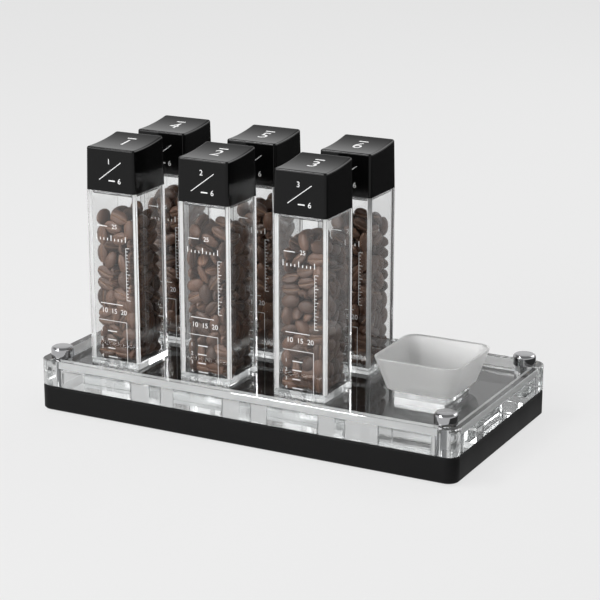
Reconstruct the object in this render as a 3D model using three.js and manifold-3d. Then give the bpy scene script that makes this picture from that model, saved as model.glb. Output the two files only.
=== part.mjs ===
// Coffee bean canister rack: six square clear canisters with keycap lids and one bean dish,
// standing in square pockets of a clear deck that is screwed to a black plinth.
// Millimetres, +Z up. The origin is on the table, under the middle of the rack.
import * as THREE from "three";
import { mergeVertices } from "three/addons/utils/BufferGeometryUtils.js";
import Module from "manifold-3d";

const wasm = await Module();
wasm.setup();

// Driving dimensions
const RACK_LENGTH = 272;
const RACK_DEPTH = 136;
const RACK_CORNER = 7;
const SEAT_GAP = 0.2; // between pieces that rest on or in each other
const SLIDE_GAP = 0.4; // each side of a piece that lifts out of its place

const PAD_RADIUS = 6;
const PAD_PROUD = 1;
const PAD_SUNK = 2;
const PAD_INSET = 16;

const PLINTH_HEIGHT = 15;
const PLINTH_CHAMFER = 0.8;

const DECK_HEIGHT = 16;
const DECK_CHAMFER = 0.5;
const RIM_WIDTH = 5;
const TRAY_DEPTH = 5.4;
const TRAY_CORNER = 6;

const SCREW_INSET = 10.4;
const SCREW_RADIUS = 2;
const SCREW_REACH = 9; // how far the screw goes down into the plinth
const POST_RADIUS = 5.8;
const HEAD_RADIUS = 6.7;
const HEAD_HEIGHT = 6.4;
const HEAD_BEVEL = 1.1;
const INSERT_RADIUS = 3.2;
const INSERT_HEIGHT = 8;

const COLUMN_PITCH = 62.6;
const ROW_PITCH = 56.2;
const FIRST_COLUMN = -96.5;
const COLUMNS = 3;
const ROWS = 2;

const TUBE_SIDE = 33.4;
const TUBE_CORNER = 1.2;
const TUBE_WALL = 2.6;
const TUBE_CHAMFER = 0.4;
const TUBE_HEIGHT = 117.7;
const BLOCK_HEIGHT = 13.8; // the tube's solid clear bottom

const CAP_SIDE = 34;
const CAP_CORNER = 1.8;
const CAP_FRONT = 26;
const CAP_BACK = 29.2;
const CAP_SCOOP = 1; // depth of the hollow top under its chord
const CAP_LIP = 1.2; // size of the rounded front and back top edges
const CAP_LIP_FALL = 0.15; // how far the top has fallen where it leaves a lip
const CAP_DRAFT = 0.5; // how much narrower each side is at the top

const PLUG_FLANGE = 4;
const PLUG_FLANGE_WALL = 2.6; // cap wall round the flange
const PLUG_REACH = 2.4; // how far the plug goes down into the tube
const SEAL_HEIGHT = 1.2;
const SEAL_DEPTH = 1.4;
const SEAL_GAP = 0.15;

const BEAN_SPACE = 0.5; // between the beans and the tube's inside
const BEAN_TOP = 85; // mean height of the fill over the tube's bottom block
const BEAN_HEAP = 4; // how much higher the middle is
const BEAN_LUMP = 2.6;
const BEAN_SIDE_STEPS = 4;
const BEAN_RINGS = 13;
const BEAN_HEAP_RINGS = 2;

const DISH_X = FIRST_COLUMN + COLUMNS * COLUMN_PITCH; // the place of one more column
const DISH_FOOT_SIDE = TUBE_SIDE;
const DISH_FOOT_HEIGHT = 15;
const DISH_FOOT_CORNER = 1.5;
const DISH_RIM_SIDE = 55.3;
const DISH_RIM_CORNER = 10;
const DISH_BASE_SIDE = 38;
const DISH_BASE_CORNER = 6;
const DISH_HEIGHT = 20.2;
const DISH_WALL = 2;
const DISH_FLOOR = 2.6;
const DISH_FLOOR_ROUND = 1.4; // where the walls meet the floor
const DISH_LIP_ROUND = 0.6; // both edges of the rim

// How finely curves are cut into facets, and how far a cut runs past the face that it opens
const RACK_CORNER_STEPS = 6;
const TRAY_CORNER_STEPS = 4;
const TUBE_CORNER_STEPS = 3;
const BORE_CORNER_STEPS = 2;
const DISH_CORNER_STEPS = 5;
const CAP_TOP_STEPS = 6;
const BORE_SIDES = 16;
const PAD_SIDES = 24;
const HEAD_SIDES = 24;
const POST_SIDES = 32;
const CUT_OVER = 1;
const MERGE_DISTANCE = 1e-4;

// Levels worked out from the sizes
const PLINTH_Z = PAD_PROUD;
const DECK_Z = PLINTH_Z + PLINTH_HEIGHT + SEAT_GAP;
const RIM_Z = DECK_Z + DECK_HEIGHT;
const TRAY_Z = RIM_Z - TRAY_DEPTH;
const STAND_Z = PLINTH_Z + PLINTH_HEIGHT + SEAT_GAP; // where canisters and the dish foot stand
const TUBE_TOP = STAND_Z + TUBE_HEIGHT;
const CAP_Z = TUBE_TOP + SEAT_GAP;
const TUBE_BORE = TUBE_SIDE - 2 * TUBE_WALL;
const BORE_CORNER = TUBE_CORNER / 2;

// Materials
const finish = (color, roughness, metalness, opacity = 1) =>
  new THREE.MeshStandardMaterial({ color, roughness, metalness, opacity, transparent: opacity < 1 });
const BLACK_PLASTIC = finish(0x1d1d1e, 0.38, 0);
const CAP_PLASTIC = finish(0x202021, 0.42, 0);
const CLEAR_ACRYLIC = finish(0xf4f7f7, 0.04, 0, 0.3);
const FROSTED_ACRYLIC = finish(0xe6e6e4, 0.55, 0, 0.7);
const CHROME = finish(0xc9c9c9, 0.08, 1);
const BRASS = finish(0xb58e4a, 0.3, 1);
const RUBBER = finish(0x151515, 0.9, 0);
const SILICONE = finish(0xdedede, 0.5, 0, 0.6);
const ROASTED = finish(0x3b241a, 0.5, 0);

// Solids

/** A closed geometry as a solid that can be joined and cut. */
function solid(geometry) {
  const bare = new THREE.BufferGeometry();
  const source = geometry.index ? geometry.toNonIndexed() : geometry;
  bare.setAttribute("position", source.getAttribute("position").clone());
  const merged = mergeVertices(bare, MERGE_DISTANCE);
  const vertProperties = new Float32Array(merged.getAttribute("position").array);
  const triVerts = new Uint32Array(merged.index.array);
  return new wasm.Manifold(new wasm.Mesh({ numProp: 3, vertProperties, triVerts }));
}

/** The geometry of a joined or cut solid. */
function geometryOf(body) {
  const mesh = body.getMesh();
  const geometry = new THREE.BufferGeometry();
  geometry.setAttribute("position", new THREE.BufferAttribute(mesh.vertProperties, 3));
  geometry.setIndex(new THREE.BufferAttribute(mesh.triVerts, 1));
  geometry.computeVertexNormals();
  return geometry;
}

/** A rectangle with round corners, centred on the origin. */
function roundedRectangle(width, depth, radius) {
  const x = width / 2 - radius;
  const y = depth / 2 - radius;
  const shape = new THREE.Shape();
  shape.absarc(x, y, radius, 0, Math.PI / 2, false);
  shape.absarc(-x, y, radius, Math.PI / 2, Math.PI, false);
  shape.absarc(-x, -y, radius, Math.PI, 1.5 * Math.PI, false);
  shape.absarc(x, -y, radius, 1.5 * Math.PI, 2 * Math.PI, false);
  shape.closePath();
  return shape;
}

/** An upright slab of a shape from one level to another, with both edges chamfered. */
function slab(shape, from, to, chamfer, curveSegments) {
  const geometry = new THREE.ExtrudeGeometry(shape, {
    depth: to - from - 2 * chamfer,
    curveSegments,
    bevelEnabled: chamfer > 0,
    bevelThickness: chamfer,
    bevelSize: chamfer,
    bevelOffset: -chamfer,
    bevelSegments: 1,
  });
  geometry.translate(0, 0, from + chamfer);
  return geometry;
}

/** A square slab with round corners, for tubes, plugs and pockets. */
const squareSlab = (side, radius, from, to, chamfer = 0, curveSegments = BORE_CORNER_STEPS) =>
  slab(roundedRectangle(side, side, radius), from, to, chamfer, curveSegments);

/** An upright round bar or hole. */
function roundBar(radius, from, to, x = 0, y = 0, sides = BORE_SIDES) {
  const bar = new THREE.CylinderGeometry(radius, radius, to - from, sides);
  bar.rotateX(Math.PI / 2);
  bar.translate(x, y, (from + to) / 2);
  return bar;
}

/** Cuts each of a list of geometries out of a solid. */
const cut = (body, tools) => tools.reduce((rest, tool) => rest.subtract(solid(tool)), body);

/** One ring of a rounded square: the same number of points whatever its size. */
function squareRing(side, radius, z, steps) {
  const inner = side / 2 - radius;
  const corners = [[1, 1], [-1, 1], [-1, -1], [1, -1]];
  return corners.flatMap(([sx, sy], corner) =>
    Array.from({ length: steps + 1 }, (_, i) => {
      const angle = (corner + i / steps) * (Math.PI / 2);
      return [sx * inner + radius * Math.cos(angle), sy * inner + radius * Math.sin(angle), z];
    }),
  );
}

/** Skins a list of rings into one closed body, with a fan over the first and last ring. */
function skin(rings) {
  const count = rings[0].length;
  const points = rings.flat();
  const middle = (ring) => [0, 1, 2].map((axis) => ring.reduce((sum, p) => sum + p[axis], 0) / count);
  const first = points.push(middle(rings[0])) - 1;
  const last = points.push(middle(rings.at(-1))) - 1;
  const faces = [];
  for (let i = 0; i < count; i++) {
    const next = (i + 1) % count;
    const top = (rings.length - 1) * count;
    faces.push([first, next, i]);
    faces.push([last, top + i, top + next]);
    for (let ring = 0; ring < rings.length - 1; ring++) {
      const low = ring * count;
      const high = low + count;
      faces.push([low + i, low + next, high + next]);
      faces.push([low + i, high + next, high + i]);
    }
  }
  const geometry = new THREE.BufferGeometry();
  geometry.setAttribute("position", new THREE.Float32BufferAttribute(points.flat(), 3));
  geometry.setIndex(faces.flat());
  geometry.computeVertexNormals();
  return geometry;
}

const root = new THREE.Group();

/** Adds a named piece to a group, at a place in that group. */
function add(group, name, geometry, material, x = 0, y = 0) {
  const mesh = new THREE.Mesh(geometry, material);
  mesh.name = name;
  mesh.position.set(x, y, 0);
  group.add(mesh);
  return mesh;
}

const fourCorners = (inset) =>
  [[-1, -1], [1, -1], [1, 1], [-1, 1]].map(([sx, sy]) => [
    sx * (RACK_LENGTH / 2 - inset),
    sy * (RACK_DEPTH / 2 - inset),
  ]);
const screwPlaces = fourCorners(SCREW_INSET);
const padPlaces = fourCorners(PAD_INSET);
const canisterPlaces = [];
for (let row = 0; row < ROWS; row++) {
  for (let column = 0; column < COLUMNS; column++) {
    canisterPlaces.push([FIRST_COLUMN + column * COLUMN_PITCH, (row - (ROWS - 1) / 2) * ROW_PITCH]);
  }
}

// Plinth: a black slab with round corners, bored for the screw inserts and the foot pads.
function plinth() {
  const outline = roundedRectangle(RACK_LENGTH, RACK_DEPTH, RACK_CORNER);
  const top = PLINTH_Z + PLINTH_HEIGHT;
  const body = solid(slab(outline, PLINTH_Z, top, PLINTH_CHAMFER, RACK_CORNER_STEPS));
  const insertBores = screwPlaces.map(([x, y]) =>
    roundBar(INSERT_RADIUS + SEAT_GAP, top - SCREW_REACH - CUT_OVER, top + CUT_OVER, x, y),
  );
  const padBores = padPlaces.map(([x, y]) =>
    roundBar(PAD_RADIUS + SEAT_GAP, 0, PLINTH_Z + PAD_SUNK, x, y, PAD_SIDES),
  );
  return geometryOf(cut(body, [...insertBores, ...padBores]));
}

// Deck: a clear plate milled to a shallow tray inside a rim. A round post is left standing in each
// corner for the screw, and a square pocket goes right through under each canister and the dish.
function deck() {
  const outline = roundedRectangle(RACK_LENGTH, RACK_DEPTH, RACK_CORNER);
  const plate = solid(slab(outline, DECK_Z, RIM_Z, DECK_CHAMFER, RACK_CORNER_STEPS));
  const trayOutline = roundedRectangle(RACK_LENGTH - 2 * RIM_WIDTH, RACK_DEPTH - 2 * RIM_WIDTH, TRAY_CORNER);
  const posts = screwPlaces.map(([x, y]) =>
    roundBar(POST_RADIUS, DECK_Z, RIM_Z + 2 * CUT_OVER, x, y, POST_SIDES),
  );
  const tray = cut(solid(slab(trayOutline, TRAY_Z, RIM_Z + CUT_OVER, 0, TRAY_CORNER_STEPS)), posts);
  const canisterPockets = canisterPlaces.map(([x, y]) =>
    squareSlab(TUBE_SIDE + 2 * SLIDE_GAP, TUBE_CORNER, DECK_Z - CUT_OVER, RIM_Z).translate(x, y, 0),
  );
  const dishPocket = squareSlab(DISH_FOOT_SIDE + 2 * SLIDE_GAP, DISH_FOOT_CORNER, DECK_Z - CUT_OVER, RIM_Z);
  dishPocket.translate(DISH_X, 0, 0);
  const screwHoles = screwPlaces.map(([x, y]) =>
    roundBar(SCREW_RADIUS + SEAT_GAP, DECK_Z - CUT_OVER, RIM_Z + CUT_OVER, x, y),
  );
  return geometryOf(cut(plate.subtract(tray), [...canisterPockets, dishPocket, ...screwHoles]));
}

// Corner thumbscrew: a round head with a bevel above and below, on a plain shank.
function thumbscrew() {
  const seat = RIM_Z + SEAT_GAP;
  const profile = [
    [0, seat - DECK_HEIGHT - SCREW_REACH],
    [SCREW_RADIUS, seat - DECK_HEIGHT - SCREW_REACH],
    [SCREW_RADIUS, seat],
    [HEAD_RADIUS - HEAD_BEVEL, seat],
    [HEAD_RADIUS, seat + HEAD_BEVEL],
    [HEAD_RADIUS, seat + HEAD_HEIGHT - HEAD_BEVEL],
    [HEAD_RADIUS - HEAD_BEVEL, seat + HEAD_HEIGHT],
    [0, seat + HEAD_HEIGHT],
  ];
  const head = new THREE.LatheGeometry(profile.map(([r, z]) => new THREE.Vector2(r, z)), HEAD_SIDES);
  return head.rotateX(Math.PI / 2);
}

// Threaded insert: a brass sleeve in the plinth, round the end of each screw.
function insert() {
  const top = PLINTH_Z + PLINTH_HEIGHT - SEAT_GAP;
  const sleeve = solid(roundBar(INSERT_RADIUS, top - INSERT_HEIGHT, top));
  return geometryOf(cut(sleeve, [roundBar(SCREW_RADIUS + SEAT_GAP, 0, top + CUT_OVER)]));
}

// Foot pad: a rubber disc, pressed into the plinth's underside.
const footPad = () => roundBar(PAD_RADIUS, 0, PAD_PROUD + PAD_SUNK - SEAT_GAP, 0, 0, PAD_SIDES);

add(root, "base_plinth", plinth(), BLACK_PLASTIC);
add(root, "clear_deck", deck(), CLEAR_ACRYLIC);
padPlaces.forEach(([x, y], i) => add(root, `foot_pad_${i + 1}`, footPad(), RUBBER, x, y));
screwPlaces.forEach(([x, y], i) => {
  add(root, `corner_screw_${i + 1}`, thumbscrew(), CHROME, x, y);
  add(root, `screw_insert_${i + 1}`, insert(), BRASS, x, y);
});

// Canister tube: a square clear tube with a thick solid bottom.
function tube() {
  const outside = squareSlab(TUBE_SIDE, TUBE_CORNER, STAND_Z, TUBE_TOP, TUBE_CHAMFER, TUBE_CORNER_STEPS);
  const bore = squareSlab(TUBE_BORE, BORE_CORNER, STAND_Z + BLOCK_HEIGHT, TUBE_TOP + CUT_OVER);
  return geometryOf(cut(solid(outside), [bore]));
}

// Bean fill: a heaped square column whose sides and top are lumpy at the spacing of the beans.
function beanFill(turn) {
  const half = TUBE_BORE / 2 - BEAN_SPACE;
  const floor = STAND_Z + BLOCK_HEIGHT + SEAT_GAP;
  const around = 4 * BEAN_SIDE_STEPS;
  // How far a point stands back, in turn from step to step and ring to ring, and unevenly.
  const lump = (i, ring) => {
    const turnabout = (i + ring) % 2 ? -1 : 1;
    return (BEAN_LUMP / 2) * (1 - turnabout * Math.sin(i + 2 * ring + turn) ** 2);
  };
  const edge = (i) => {
    const side = Math.floor(i / BEAN_SIDE_STEPS);
    const along = (2 * (i % BEAN_SIDE_STEPS)) / BEAN_SIDE_STEPS - 1;
    const angle = (side * Math.PI) / 2;
    return [Math.cos(angle) - along * Math.sin(angle), Math.sin(angle) + along * Math.cos(angle)];
  };
  const ringOf = (ring, z, scale) =>
    Array.from({ length: around }, (_, i) => {
      const [x, y] = edge(i);
      const reach = (half - lump(i, ring)) * scale;
      return [x * reach, y * reach, z - (scale < 1 ? lump(i, ring + 1) : 0)];
    });
  const rings = [];
  for (let ring = 0; ring <= BEAN_RINGS; ring++) {
    rings.push(ringOf(ring, floor + (BEAN_TOP * ring) / BEAN_RINGS, 1));
  }
  for (let ring = 1; ring <= BEAN_HEAP_RINGS; ring++) {
    const inward = ring / (BEAN_HEAP_RINGS + 1);
    const rise = BEAN_HEAP * Math.sin((inward * Math.PI) / 2);
    rings.push(ringOf(BEAN_RINGS + ring, floor + BEAN_TOP + BEAN_LUMP + rise, 1 - inward));
  }
  return skin(rings);
}

// Lid cap: shaped like a key of a keyboard. Its side outline has a scooped top that is higher at the
// back, and the four sides lean in a little towards the top.
function lidCap() {
  const half = CAP_SIDE / 2;
  const outline = new THREE.Shape();
  outline.moveTo(-half, 0);
  outline.lineTo(half, 0);
  outline.lineTo(half, CAP_BACK - CAP_LIP);
  outline.quadraticCurveTo(half, CAP_BACK, half - CAP_LIP, CAP_BACK - CAP_LIP_FALL);
  const scoop = (CAP_FRONT + CAP_BACK) / 2 - 2 * CAP_SCOOP;
  outline.quadraticCurveTo(0, scoop, CAP_LIP - half, CAP_FRONT - CAP_LIP_FALL);
  outline.quadraticCurveTo(-half, CAP_FRONT, -half, CAP_FRONT - CAP_LIP);
  outline.closePath();
  const block = new THREE.ExtrudeGeometry(outline, {
    depth: CAP_SIDE + 2 * CUT_OVER,
    bevelEnabled: false,
    curveSegments: CAP_TOP_STEPS,
  });
  block.translate(0, 0, -half - CUT_OVER);
  block.rotateX(Math.PI / 2);
  block.rotateZ(Math.PI / 2);
  const sides = squareSlab(CAP_SIDE, CAP_CORNER, 0, CAP_BACK + CUT_OVER, 0, TUBE_CORNER_STEPS);
  const corners = sides.getAttribute("position");
  for (let i = 0; i < corners.count; i++) {
    const lean = 1 - (CAP_DRAFT / half) * (corners.getZ(i) / CAP_BACK);
    corners.setXY(i, corners.getX(i) * lean, corners.getY(i) * lean);
  }
  const seatSide = CAP_SIDE - 2 * PLUG_FLANGE_WALL;
  const flangeSeat = squareSlab(seatSide, CAP_CORNER, -CUT_OVER, PLUG_FLANGE + SEAT_GAP);
  const body = solid(sides).intersect(solid(block));
  return geometryOf(cut(body, [flangeSeat])).translate(0, 0, CAP_Z);
}

// Lid plug: a clear stopper whose flange is bonded into the cap, with a groove for the seal.
const PLUG_SIDE = TUBE_BORE - 2 * SLIDE_GAP;
const GROOVE_SIDE = PLUG_SIDE - 2 * SEAL_DEPTH;
const SEAL_Z = CAP_Z - PLUG_REACH + (PLUG_REACH - SEAL_HEIGHT) / 2;
function lidPlug() {
  const flangeSide = CAP_SIDE - 2 * PLUG_FLANGE_WALL - 2 * SEAT_GAP;
  const flange = solid(squareSlab(flangeSide, CAP_CORNER, CAP_Z, CAP_Z + PLUG_FLANGE));
  const stopper = squareSlab(PLUG_SIDE, BORE_CORNER, CAP_Z - PLUG_REACH, CAP_Z + CUT_OVER, TUBE_CHAMFER);
  const grooveTop = SEAL_Z + SEAL_HEIGHT;
  const core = squareSlab(GROOVE_SIDE, BORE_CORNER, SEAL_Z - CUT_OVER, grooveTop + CUT_OVER);
  const groove = solid(squareSlab(TUBE_BORE, BORE_CORNER, SEAL_Z, grooveTop)).subtract(solid(core));
  return geometryOf(solid(stopper).subtract(groove).add(flange));
}

// Lid seal: a square silicone ring that sits in the plug's groove and wipes the tube's inside.
function lidSeal() {
  const from = SEAL_Z + SEAT_GAP;
  const to = SEAL_Z + SEAL_HEIGHT - SEAT_GAP;
  const ring = solid(squareSlab(TUBE_BORE - 2 * SEAL_GAP, BORE_CORNER, from, to));
  const hole = squareSlab(GROOVE_SIDE + 2 * SEAT_GAP, BORE_CORNER, from - CUT_OVER, to + CUT_OVER);
  return geometryOf(cut(ring, [hole]));
}

canisterPlaces.forEach(([x, y], i) => {
  const canister = new THREE.Group();
  canister.position.set(x, y, 0);
  root.add(canister);
  add(canister, `canister_tube_${i + 1}`, tube(), CLEAR_ACRYLIC);
  add(canister, `bean_fill_${i + 1}`, beanFill(i), ROASTED);
  add(canister, `lid_cap_${i + 1}`, lidCap(), CAP_PLASTIC);
  add(canister, `lid_plug_${i + 1}`, lidPlug(), CLEAR_ACRYLIC);
  add(canister, `lid_seal_${i + 1}`, lidSeal(), SILICONE);
});

// Dish foot: a clear block that stands in the deck's last pocket and carries the bowl.
const DISH_Z = STAND_Z + DISH_FOOT_HEIGHT + SEAT_GAP;
const dishFoot = () =>
  squareSlab(DISH_FOOT_SIDE, DISH_FOOT_CORNER, STAND_Z, STAND_Z + DISH_FOOT_HEIGHT, TUBE_CHAMFER);

// Dish bowl: a square bowl with round corners whose walls lean out to a thin rim.
function dishBowl() {
  const ringAt = (height, inward) => {
    const part = height / DISH_HEIGHT;
    const side = DISH_BASE_SIDE + (DISH_RIM_SIDE - DISH_BASE_SIDE) * part;
    const corner = DISH_BASE_CORNER + (DISH_RIM_CORNER - DISH_BASE_CORNER) * part;
    return squareRing(side - 2 * inward, corner - inward, DISH_Z + height, DISH_CORNER_STEPS);
  };
  const outside = [
    ringAt(0, DISH_FLOOR_ROUND),
    ringAt(DISH_FLOOR_ROUND / 3, DISH_FLOOR_ROUND / 3),
    ringAt(DISH_FLOOR_ROUND, 0),
    ringAt(DISH_HEIGHT - DISH_LIP_ROUND, 0),
    ringAt(DISH_HEIGHT, DISH_LIP_ROUND),
  ];
  const inside = [
    ringAt(DISH_HEIGHT, DISH_WALL - DISH_LIP_ROUND),
    ringAt(DISH_HEIGHT - DISH_LIP_ROUND, DISH_WALL),
    ringAt(DISH_FLOOR + DISH_FLOOR_ROUND, DISH_WALL),
    ringAt(DISH_FLOOR + DISH_FLOOR_ROUND / 3, DISH_WALL + DISH_FLOOR_ROUND / 3),
    ringAt(DISH_FLOOR, DISH_WALL + DISH_FLOOR_ROUND),
  ];
  return skin([...outside, ...inside]);
}

const dish = new THREE.Group();
dish.position.set(DISH_X, 0, 0);
root.add(dish);
add(dish, "dish_foot", dishFoot(), CLEAR_ACRYLIC);
add(dish, "dish_bowl", dishBowl(), FROSTED_ACRYLIC);

export default root;
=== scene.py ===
"""Looks of a coffee bean canister rack.

Six square clear canisters with black keycap lids and one frosted dish stand in the pockets of a clear
deck, on a black plinth. Everything is in metres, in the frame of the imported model.
"""
from __future__ import annotations

import logging
import math
from dataclasses import dataclass, field
from enum import Enum
from typing import Any, Iterable, Protocol, Sequence

import bmesh
import bpy
import numpy as np
from mathutils import Matrix, Vector

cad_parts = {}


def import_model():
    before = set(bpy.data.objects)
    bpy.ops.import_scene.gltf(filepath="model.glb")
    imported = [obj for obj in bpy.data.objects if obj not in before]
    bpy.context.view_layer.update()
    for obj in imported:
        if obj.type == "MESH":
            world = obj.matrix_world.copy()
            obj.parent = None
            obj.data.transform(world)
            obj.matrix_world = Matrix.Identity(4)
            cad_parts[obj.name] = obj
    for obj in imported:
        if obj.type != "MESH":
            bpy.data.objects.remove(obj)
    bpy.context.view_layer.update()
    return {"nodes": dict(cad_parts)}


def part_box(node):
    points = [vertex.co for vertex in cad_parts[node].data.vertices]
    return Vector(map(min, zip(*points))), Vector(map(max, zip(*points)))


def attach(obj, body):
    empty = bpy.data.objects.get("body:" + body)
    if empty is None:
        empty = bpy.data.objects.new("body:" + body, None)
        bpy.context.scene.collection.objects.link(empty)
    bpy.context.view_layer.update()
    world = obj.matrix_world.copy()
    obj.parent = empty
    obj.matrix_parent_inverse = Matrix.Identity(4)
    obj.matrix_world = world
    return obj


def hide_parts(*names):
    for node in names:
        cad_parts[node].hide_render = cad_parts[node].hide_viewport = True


LOG = logging.getLogger("canister_rack")
MM = 0.001
CANISTERS = 6
CORNERS = 4

BMesh = bmesh.types.BMesh
Vert = bmesh.types.BMVert
Edge = bmesh.types.BMEdge
Face = bmesh.types.BMFace
Material = bpy.types.Material
ShaderNode = bpy.types.ShaderNode
Colour = tuple[float, float, float]
Point = tuple[float, float, float]

# Vertices this close are one, and faces that turn less than this, in degrees, are flat
MERGE = 1e-6
FLAT = 0.2
# Edges and normals with at least this share along an axis count as steep, or as looking along it
STEEP = 0.7
FACING = 0.9
# Edges whose faces turn by more than this, in degrees, are sharp
SHARP = 60.0
EDGE_STEPS = 2
ROUND_STEPS = 4
# Added to a distance so that it is never zero
TINY = 1e-9
ACRYLIC_INDEX = 1.49
FINE_GRAIN = 0.1 * MM


class Facing(Enum):
    """The way that printing on a piece looks out."""

    FRONT = "front"
    TOP = "top"

    def turn(self) -> Matrix:
        """Returns the turn that takes a print from the ground plane to this face."""
        if self is Facing.FRONT:
            return Matrix.Rotation(math.radians(90), 4, "X")
        return Matrix.Identity(4)


# Mesh helpers


def bevel(bm: BMesh, edges: Iterable[Edge], size: float, steps: int) -> None:
    """Rounds some edges.

    Args:
        bm: The mesh to change.
        edges: The edges to round. Those that an earlier rounding took away are passed over.
        size: How far the rounding reaches from the edge.
        steps: How many faces make up the rounding.
    """
    bmesh.ops.bevel(
        bm,
        geom=[e for e in edges if e.is_valid],
        offset=size,
        offset_type="OFFSET",
        affect="EDGES",
        segments=steps,
        profile=0.5,
        material=-1,
        clamp_overlap=True,
    )


def block(low: Vector, high: Vector) -> BMesh:
    """Makes a closed block.

    Args:
        low: Its lowest corner.
        high: Its highest corner.

    Returns:
        The block's mesh.
    """
    bm = bmesh.new()
    bmesh.ops.create_cube(bm, size=1.0)
    bmesh.ops.scale(bm, vec=high - low, verts=bm.verts)
    bmesh.ops.translate(bm, vec=(low + high) / 2, verts=bm.verts)
    return bm


def upright_edges(bm: BMesh) -> list[Edge]:
    """Lists the edges that run up and down."""
    return [e for e in bm.edges if abs((e.verts[0].co - e.verts[1].co).normalized().z) > STEEP]


def sharp_edges(bm: BMesh, angle: float = SHARP) -> list[Edge]:
    """Lists the edges whose two faces turn by more than an angle, in degrees."""
    bm.normal_update()
    return [e for e in bm.edges if e.is_manifold and e.calc_face_angle(0.0) > math.radians(angle)]


def top_face(bm: BMesh) -> Face:
    """Finds the highest face that looks up."""
    bm.normal_update()
    return max((f for f in bm.faces if f.normal.z > FACING), key=lambda f: f.calc_center_median().z)


def cut_across(bm: BMesh, y: float) -> None:
    """Cuts every face of a mesh along an upright plane at a place from front to back."""
    bmesh.ops.bisect_plane(
        bm,
        geom=list(bm.verts) + list(bm.edges) + list(bm.faces),
        plane_co=(0.0, y, 0.0),
        plane_no=(0.0, 1.0, 0.0),
    )


def grow(bm: BMesh, faces: list[Face], keep: bool) -> tuple[list[Vert], Face]:
    """Extrudes faces, which are then moved by their new vertices.

    Args:
        bm: The mesh to change.
        faces: The faces to extrude.
        keep: Whether the faces stay in their old place too.

    Returns:
        The new vertices and the first new face.
    """
    grown = bmesh.ops.extrude_face_region(bm, geom=faces, use_keep_orig=keep)["geom"]
    if not keep:
        bmesh.ops.delete(bm, geom=[f for f in faces if f.is_valid], context="FACES_ONLY")
    verts = [v for v in grown if isinstance(v, Vert)]
    return verts, next(f for f in grown if isinstance(f, Face))


def sink(bm: BMesh, face: Face, wall: float, depth: float) -> None:
    """Hollows a flat face.

    Args:
        bm: The mesh to change.
        face: The face to hollow.
        wall: How much of the face is left round the hollow.
        depth: How deep the hollow goes, against the face's normal.
    """
    bm.normal_update()
    inward = -face.normal * depth
    bmesh.ops.inset_region(bm, faces=[face], thickness=wall, use_even_offset=True)
    moved, _ = grow(bm, [face], False)
    bmesh.ops.translate(bm, vec=inward, verts=moved)


def copy_of(node: bpy.types.Object) -> BMesh:
    """Copies a solid of the frame, with its loose triangles merged into flat faces.

    Args:
        node: The object of the solid.

    Returns:
        The merged copy.
    """
    bm = bmesh.new()
    bm.from_mesh(node.data)
    bmesh.ops.remove_doubles(bm, verts=bm.verts, dist=MERGE)
    bmesh.ops.dissolve_limit(bm, angle_limit=math.radians(FLAT), verts=bm.verts, edges=bm.edges)
    return bm


def piece(name: str, bm: BMesh, material: Material, smooth: float = 35.0) -> bpy.types.Object:
    """Turns a mesh into a finished object at the origin.

    Args:
        name: The object's name.
        bm: Its mesh, which is freed.
        material: Its finish.
        smooth: Edges sharper than this angle, in degrees, stay sharp.

    Returns:
        The object, linked to the scene.
    """
    mesh = bpy.data.meshes.new(name)
    bm.to_mesh(mesh)
    bm.free()
    mesh.polygons.foreach_set("use_smooth", [True] * len(mesh.polygons))
    mesh.set_sharp_from_angle(angle=math.radians(smooth))
    mesh.materials.append(material)
    made = bpy.data.objects.new(name, mesh)
    bpy.context.scene.collection.objects.link(made)
    even = made.modifiers.new("even_normals", "WEIGHTED_NORMAL")
    even.keep_sharp = True
    even.weight = 100
    return made


def settle(made: bpy.types.Object, body: str, slot: str, *nodes: str) -> None:
    """Puts a piece on a body of the frame, in place of the solids that it stands for.

    Args:
        made: The piece.
        body: The body that it moves with.
        slot: The name of a material slot. It is not used.
        nodes: The solids that it replaces.
    """
    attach(made, body)
    if nodes:
        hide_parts(*nodes)
    LOG.info("%s: %d faces on %s", made.name, len(made.data.polygons), body)


def dress(node: bpy.types.Object, material: Material) -> None:
    """Gives a solid of the frame a finish."""
    node.data.materials.clear()
    node.data.materials.append(material)


# Finishes


def shader_of(material: Material) -> ShaderNode:
    """Returns the one shader that a new material starts with."""
    material.use_nodes = True
    return material.node_tree.nodes["Principled BSDF"]


def add_node(material: Material, kind: str, **values: object) -> ShaderNode:
    """Adds a node and sets its inputs.

    Args:
        material: The material to add to.
        kind: The node's type.
        values: Input values by name, with underscores for spaces.

    Returns:
        The node.
    """
    node = material.node_tree.nodes.new(kind)
    for name, value in values.items():
        node.inputs[name.replace("_", " ")].default_value = value
    return node


def set_inputs(shader: ShaderNode, values: dict[str, object]) -> None:
    """Sets constant values on a shader's own sockets."""
    for name, value in values.items():
        shader.inputs[name].default_value = value


def noise_on(material: Material, scale: float, detail: float) -> ShaderNode:
    """Adds a noise that keeps its place on the piece.

    Args:
        material: The material to add to.
        scale: How fine the noise is.
        detail: How many finer layers it has.

    Returns:
        The noise.
    """
    place = add_node(material, "ShaderNodeTexCoord")
    noise = add_node(material, "ShaderNodeTexNoise", Scale=scale, Detail=detail)
    material.node_tree.links.new(place.outputs["Object"], noise.inputs["Vector"])
    return noise


def vary_roughness(material: Material, noise: ShaderNode, low: float, high: float) -> None:
    """Lets a noise vary the roughness.

    Args:
        material: The material to change.
        noise: What it varies with.
        low: The least roughness.
        high: The greatest.
    """
    spread = add_node(material, "ShaderNodeMapRange", To_Min=low, To_Max=high)
    material.node_tree.links.new(noise.outputs["Fac"], spread.inputs["Value"])
    material.node_tree.links.new(spread.outputs["Result"], shader_of(material).inputs["Roughness"])


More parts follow.
